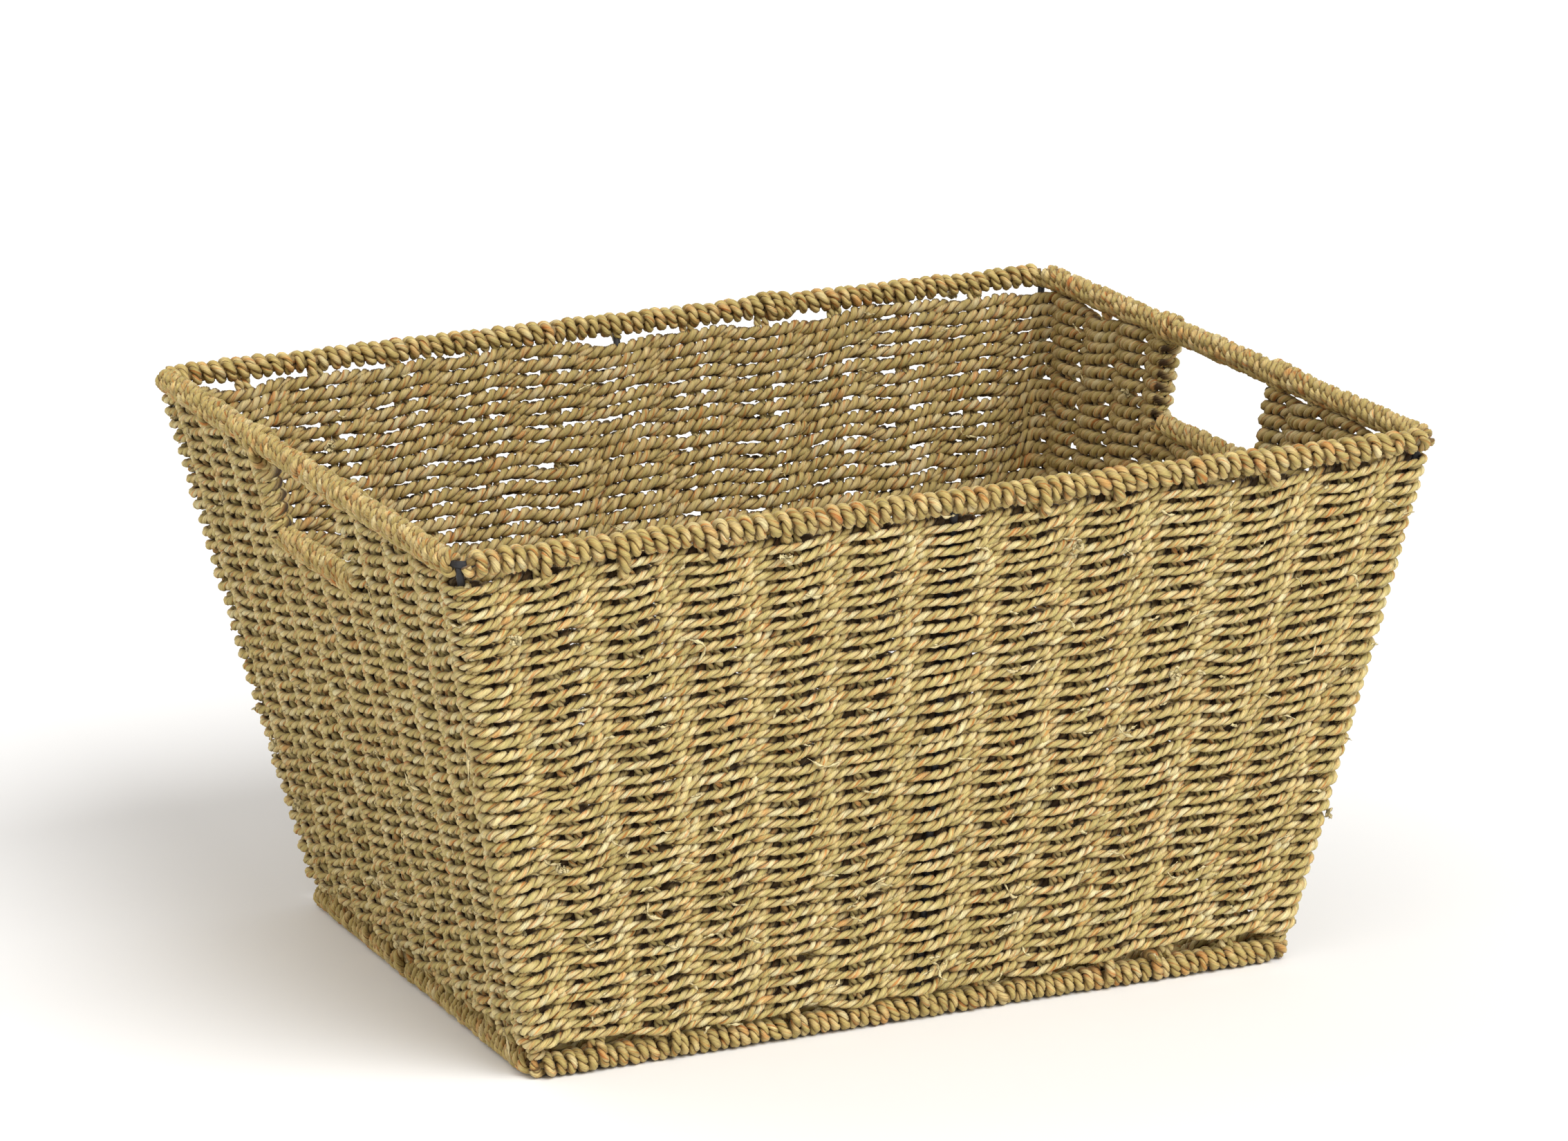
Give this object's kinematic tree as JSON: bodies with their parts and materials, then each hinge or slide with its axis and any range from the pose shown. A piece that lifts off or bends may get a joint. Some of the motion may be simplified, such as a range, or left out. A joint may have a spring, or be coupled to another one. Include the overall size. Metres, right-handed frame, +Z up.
{
  "type": "storage basket",
  "caption": "Open rectangular storage basket, tapered, of twined two-ply seagrass cord on a welded wire frame, with a lashed rim and a hand slot in each short side.",
  "frame": {"origin": "middle of the resting plane, under the centre of the base", "axes": "+X along the long side, +Y towards the back, +Z up; the hand slots are in the -X and +X sides"},
  "size_m": [0.44, 0.39, 0.24],
  "materials": {
    "frame_steel": "dark satin paint over steel wire",
    "stake_cord": "dry twisted seagrass, matt",
    "weft_cord": "dry twisted seagrass, slightly waxy sheen on each fibre",
    "lashing_cord": "dry twisted seagrass, slightly waxy sheen on each fibre"
  },
  "bodies": {
    "root": {"back_weave": "weft_cord", "base_cross_wire": "frame_steel", "base_lashing_back": "lashing_cord", "base_lashing_front": "lashing_cord", "base_lashing_left": "lashing_cord", "base_lashing_right": "lashing_cord", "base_weave": "weft_cord", "base_wire": "frame_steel", "corner_post_back_left": "frame_steel", "corner_post_back_right": "frame_steel", "corner_post_front_left": "frame_steel", "corner_post_front_right": "frame_steel", "front_weave": "weft_cord", "handle_lashing_left": "lashing_cord", "handle_lashing_right": "lashing_cord", "handle_wire_left": "frame_steel", "handle_wire_right": "frame_steel", "left_stake_01": "stake_cord", "left_stake_02": "stake_cord", "left_stake_03": "stake_cord", "left_stake_04": "stake_cord", "left_stake_05": "stake_cord", "left_stake_06": "stake_cord", "left_stake_07": "stake_cord", "left_stake_08": "stake_cord", "left_stake_09": "stake_cord", "left_stake_10": "stake_cord", "left_weave_back": "weft_cord", "left_weave_below": "weft_cord", "left_weave_front": "weft_cord", "middle_wire_back": "frame_steel", "middle_wire_front": "frame_steel", "right_stake_01": "stake_cord", "right_stake_02": "stake_cord", "right_stake_03": "stake_cord", "right_stake_04": "stake_cord", "right_stake_05": "stake_cord", "right_stake_06": "stake_cord", "right_stake_07": "stake_cord", "right_stake_08": "stake_cord", "right_stake_09": "stake_cord", "right_stake_10": "stake_cord", "right_weave_back": "weft_cord", "right_weave_below": "weft_cord", "right_weave_front": "weft_cord", "rim_lashing_back": "lashing_cord", "rim_lashing_front": "lashing_cord", "rim_lashing_left": "lashing_cord", "rim_lashing_right": "lashing_cord", "rim_wire": "frame_steel", "warp_01": "stake_cord", "warp_02": "stake_cord", "warp_03": "stake_cord", "warp_04": "stake_cord", "warp_05": "stake_cord", "warp_06": "stake_cord", "warp_07": "stake_cord", "warp_08": "stake_cord", "warp_09": "stake_cord", "warp_10": "stake_cord"}
  },
  "joints": []
}
